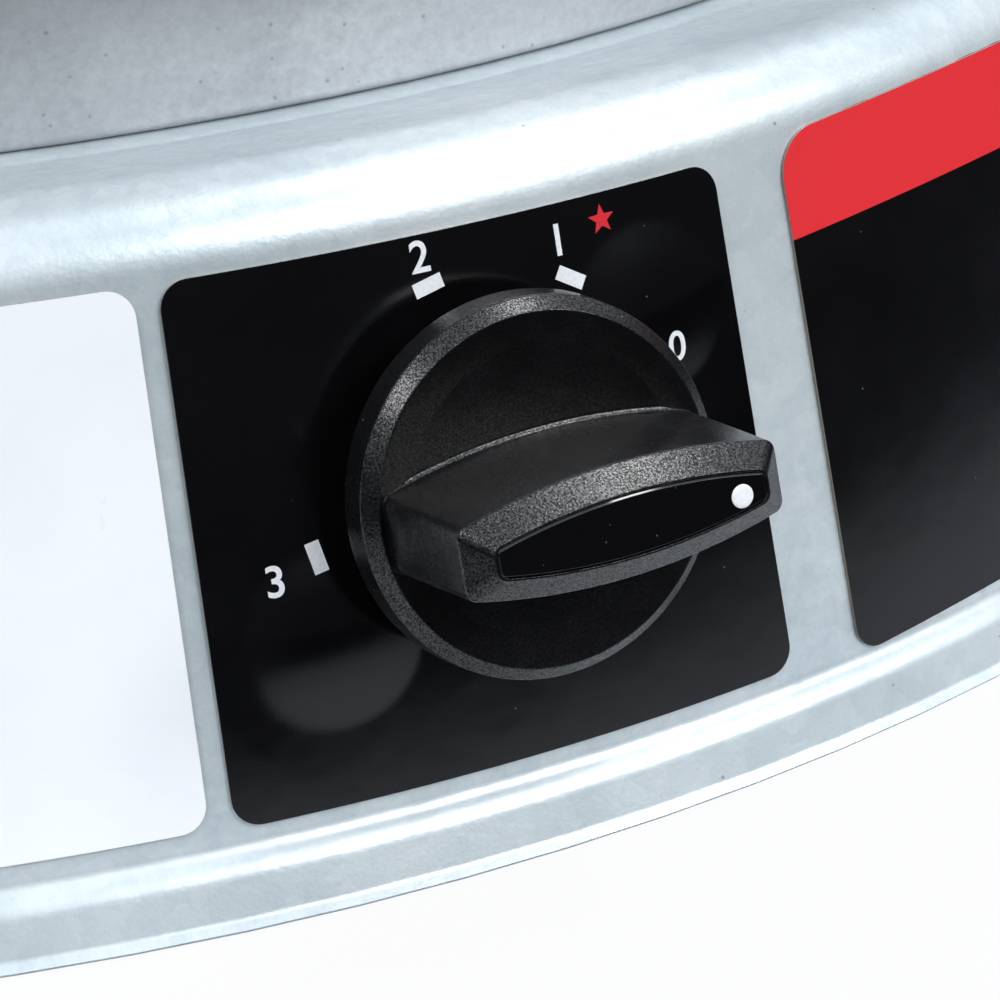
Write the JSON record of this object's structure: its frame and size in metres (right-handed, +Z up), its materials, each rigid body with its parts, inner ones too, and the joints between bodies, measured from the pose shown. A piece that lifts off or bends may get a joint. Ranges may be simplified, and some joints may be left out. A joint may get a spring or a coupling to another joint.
{
  "type": "portable propane heater",
  "caption": "Round gas convection heater: drawn base with a push-and-turn knob, slotted jacket round a burner and inner can, hooded top, swinging bail.",
  "frame": {"origin": "centre of the base's foot ring, on the floor it stands on", "axes": "+Z up, -Y is the front with the control knob, +Y the back with the gas inlet, +X the viewer's right"},
  "size_m": [0.4508, 0.4827, 0.3001],
  "materials": {
    "black_label": "gloss printed film",
    "bracket_steel": "matt, galvanised",
    "brass": "machined",
    "bush_rubber": "moulded",
    "cast_iron": "as cast",
    "ceramic": "unglazed",
    "copper": "drawn copper",
    "galvanised_steel": "satin, galvanised with a soft spangle",
    "gas_pipe": "drawn tube",
    "grip_plastic": "fine moulded grain",
    "hot_steel": "matt, heat-stained sheet",
    "igniter_plastic": "moulded",
    "inlay_plastic": "polished",
    "jacket_steel": "matt, aluminised sheet",
    "knob_plastic": "fine moulded grain",
    "lead_sleeve": "silicone sleeve",
    "notice_label": "gloss printed film with a red head",
    "pointer_plastic": "gloss",
    "spring_steel": "bright drawn",
    "white_label": "satin printed film",
    "wire_painted": "satin black",
    "zinc_plated_steel": "satin, bright zinc"
  },
  "bodies": {
    "heater": {"base_pan": "galvanised_steel", "bottom_plate": "bracket_steel", "base_screws": "zinc_plated_steel", "control_label": "black_label", "data_label": "white_label", "notice_label": "notice_label", "knob_spring": "spring_steel", "valve_bonnet": "brass", "valve_body": "brass", "magnet_unit": "zinc_plated_steel", "valve_bracket": "bracket_steel", "bracket_screws": "zinc_plated_steel", "piezo_igniter": "igniter_plastic", "igniter_lead": "lead_sleeve", "igniter_electrode": "ceramic", "thermocouple": "copper", "thermocouple_lead": "copper", "sensor_bracket": "bracket_steel", "lead_bush": "bush_rubber", "inlet_fitting": "brass", "inlet_nut": "brass", "inlet_bracket": "bracket_steel", "inlet_tube": "gas_pipe", "feed_tube": "gas_pipe", "tube_nuts": "brass", "orifice_holder": "brass", "burner_tube": "hot_steel", "burner_head": "cast_iron", "burner_legs": "zinc_plated_steel", "heat_shield": "galvanised_steel", "flame_spreader": "hot_steel", "combustion_chamber": "hot_steel", "chamber_feet": "bracket_steel", "baffle_plate": "hot_steel", "jacket_spacers": "bracket_steel", "outer_jacket": "jacket_steel", "jacket_rivets": "zinc_plated_steel", "top_cap": "jacket_steel", "cap_posts": "zinc_plated_steel", "cap_nuts": "zinc_plated_steel", "guard_rings": "zinc_plated_steel", "handle_ears": "bracket_steel", "ear_rivets": "zinc_plated_steel"},
    "plunger": {"spring_seat": "spring_steel"},
    "knob": {"knob": "knob_plastic", "knob_inlay": "inlay_plastic", "knob_pointer": "pointer_plastic", "knob_clip": "spring_steel", "valve_spindle": "brass"},
    "bail": {"handle_bail": "wire_painted", "handle_grip": "grip_plastic"}
  },
  "joints": [
    {"name": "knob_push", "type": "slide", "parent": "heater", "child": "plunger", "axis": [0, 0.9699, -0.2436], "range_m": [0, 0.0035], "stiffness_N_per_m": 2000, "springref_m": -0.004, "deforming": ["knob_spring"]},
    {"name": "knob_turn", "type": "hinge", "parent": "plunger", "child": "knob", "pos_m": [0, -0.21388, 0.0356], "axis": [0, -0.9699, 0.2436], "range_deg": [0, 189.6]},
    {"name": "bail_swing", "type": "hinge", "parent": "heater", "child": "bail", "pos_m": [0, 0, 0.22212], "axis": [1, 0, 0], "range_deg": [0, 226.3]}
  ]
}
